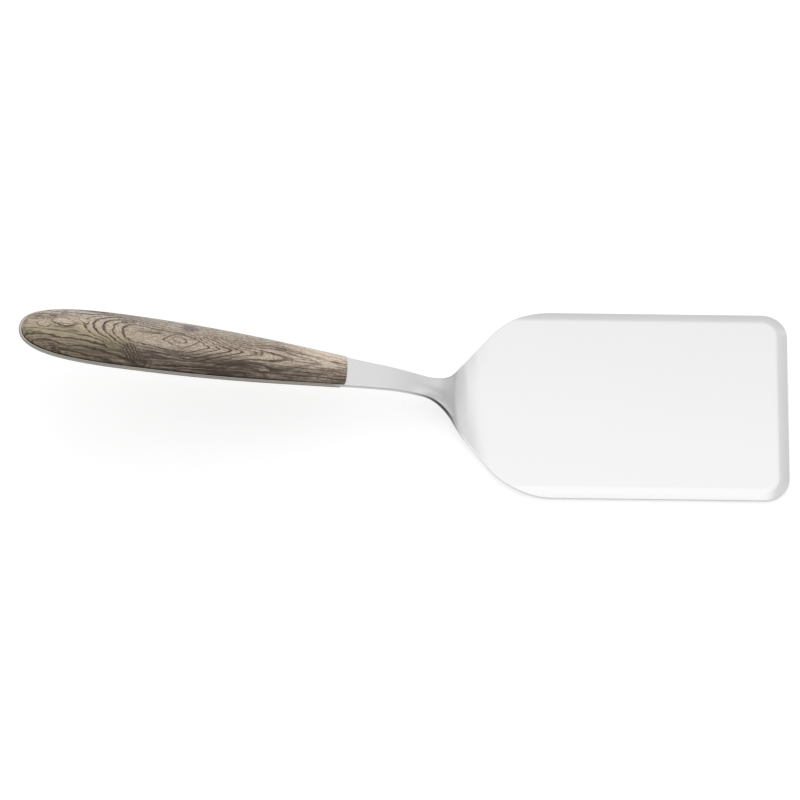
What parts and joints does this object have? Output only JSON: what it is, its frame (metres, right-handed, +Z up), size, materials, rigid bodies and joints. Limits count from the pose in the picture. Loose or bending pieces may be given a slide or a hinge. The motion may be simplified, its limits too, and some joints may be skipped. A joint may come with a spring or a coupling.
{
  "type": "lasagna server",
  "caption": "Square-bladed lasagna server: turned-down blade edges, cranked neck and full tang in one stainless steel sheet, with crowned wooden scales bonded to the tang.",
  "frame": {"origin": "middle of the server's length and width, on the plane on which the blade's turned-down lip stands when the blade is level", "axes": "+X from the handle's tip to the blade's front edge, +Z up from the table through the blade, +Y across the blade"},
  "size_m": [0.3, 0.0864, 0.0557],
  "materials": {
    "steel": "fine satin, nearly polished",
    "wood": "grey-brown open-grained wood, thin satin seal",
    "brass": "turned, plain"
  },
  "bodies": {
    "root": {"server_plate": "steel", "upper_scale": "wood", "lower_scale": "wood", "dowel_front": "brass", "dowel_middle": "brass", "dowel_rear": "brass"}
  },
  "joints": []
}
